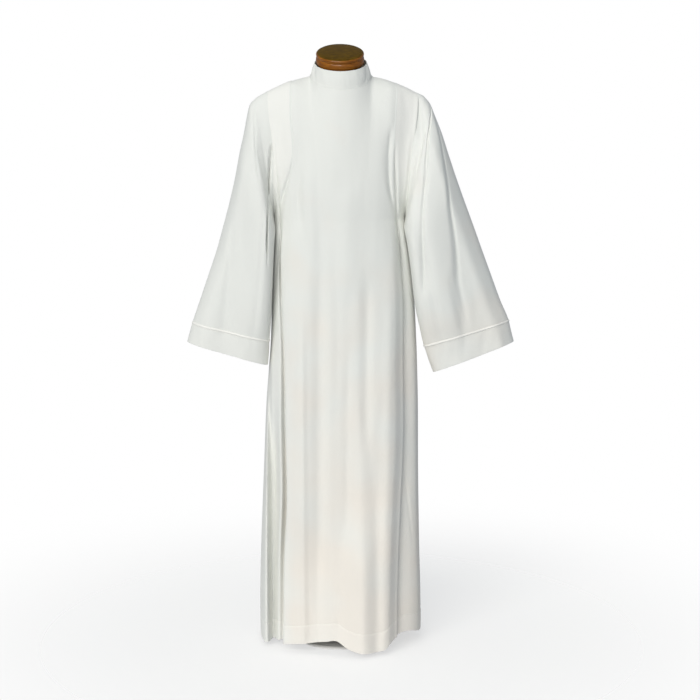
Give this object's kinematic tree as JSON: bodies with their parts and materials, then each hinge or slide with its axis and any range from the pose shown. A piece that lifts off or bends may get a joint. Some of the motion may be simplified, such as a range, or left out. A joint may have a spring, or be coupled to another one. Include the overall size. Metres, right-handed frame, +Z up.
{
  "type": "alb robe on limbless dress form",
  "caption": "Long white vestment with wide sleeves, a stand collar and pleats from the shoulders, worn on a limbless dress form with a turned wooden neck cap and a pole stand.",
  "frame": {"origin": "centre of the stand's underside, on the floor", "axes": "+Z up, the front faces -Y, the wearer's left is at +X"},
  "size_m": [0.847, 0.3991, 1.5571],
  "materials": {
    "front_panel": "matt woven",
    "back_panel": "matt woven",
    "sleeve_right": "matt woven",
    "sleeve_left": "matt woven",
    "cuff_band_right": "matt woven",
    "cuff_band_left": "matt woven",
    "cuff_trim_right": "matt woven",
    "cuff_trim_left": "matt woven",
    "collar_band": "matt woven",
    "form_torso": "linen covered, matt",
    "neck_cap": "varnished, glossy",
    "stand_pole": "brushed",
    "stand_base": "satin off-white paint"
  },
  "bodies": {
    "root": {"front_panel": "front_panel", "back_panel": "back_panel", "sleeve_right": "sleeve_right", "sleeve_left": "sleeve_left", "cuff_band_right": "cuff_band_right", "cuff_band_left": "cuff_band_left", "cuff_trim_right": "cuff_trim_right", "cuff_trim_left": "cuff_trim_left", "collar_band": "collar_band", "form_torso": "form_torso", "neck_cap": "neck_cap", "stand_pole": "stand_pole", "stand_base": "stand_base"}
  },
  "joints": []
}
